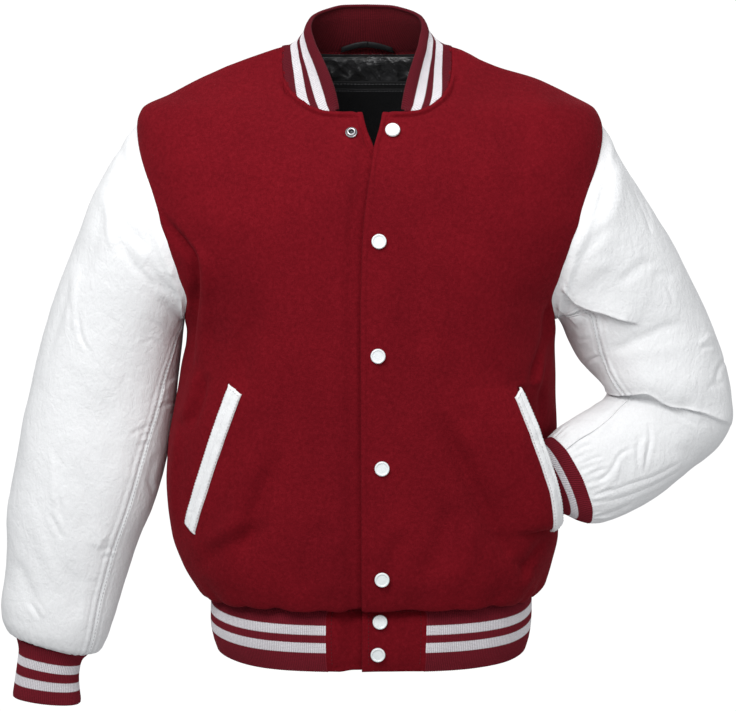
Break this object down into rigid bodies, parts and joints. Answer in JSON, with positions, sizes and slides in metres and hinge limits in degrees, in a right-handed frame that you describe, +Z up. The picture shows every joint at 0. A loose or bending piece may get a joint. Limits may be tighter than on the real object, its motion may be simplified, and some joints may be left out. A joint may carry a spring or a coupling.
{
  "type": "varsity jacket",
  "caption": "Varsity jacket filled out with no wearer, wool body, leather sleeves, rib knit collar, cuffs and waistband, snap front, one cuff tucked into its pocket.",
  "frame": {"origin": "middle of the neck base, level with the neck points of the shoulders, where the wearer's shoulders hold the jacket up", "axes": "+X towards the wearer's left, +Y towards the back (the front faces -Y), +Z up along the wearer's neck"},
  "size_m": [0.8242, 0.2849, 0.7842],
  "materials": {
    "red_wool": "matte napped melton wool",
    "white_leather": "smooth grained leather, satin",
    "maroon_rib": "matte rib knit, maroon with two white stripes",
    "black_lining": "satin lining",
    "black_leather": "smooth, satin",
    "white_snap": "gloss enamel",
    "nickel": "polished nickel"
  },
  "bodies": {
    "root": {"front_right": "red_wool", "front_left": "red_wool", "back": "red_wool", "waist_tab_right": "red_wool", "waist_tab_left": "red_wool", "sleeve_right_upper": "white_leather", "sleeve_right_under": "white_leather", "sleeve_left_upper": "white_leather", "sleeve_left_under": "white_leather", "welt_right": "white_leather", "welt_left": "white_leather", "collar": "maroon_rib", "cuff_right": "maroon_rib", "cuff_left": "maroon_rib", "waistband_rib": "maroon_rib", "lining": "black_lining", "locker_patch": "black_lining", "neck_label": "black_leather", "hang_loop": "black_leather", "snap_stud": "nickel", "snap_cap_1": "white_snap", "snap_cap_2": "white_snap", "snap_cap_3": "white_snap", "snap_cap_4": "white_snap", "snap_cap_5": "white_snap", "snap_cap_6": "white_snap", "snap_cap_7": "white_snap"}
  },
  "joints": []
}
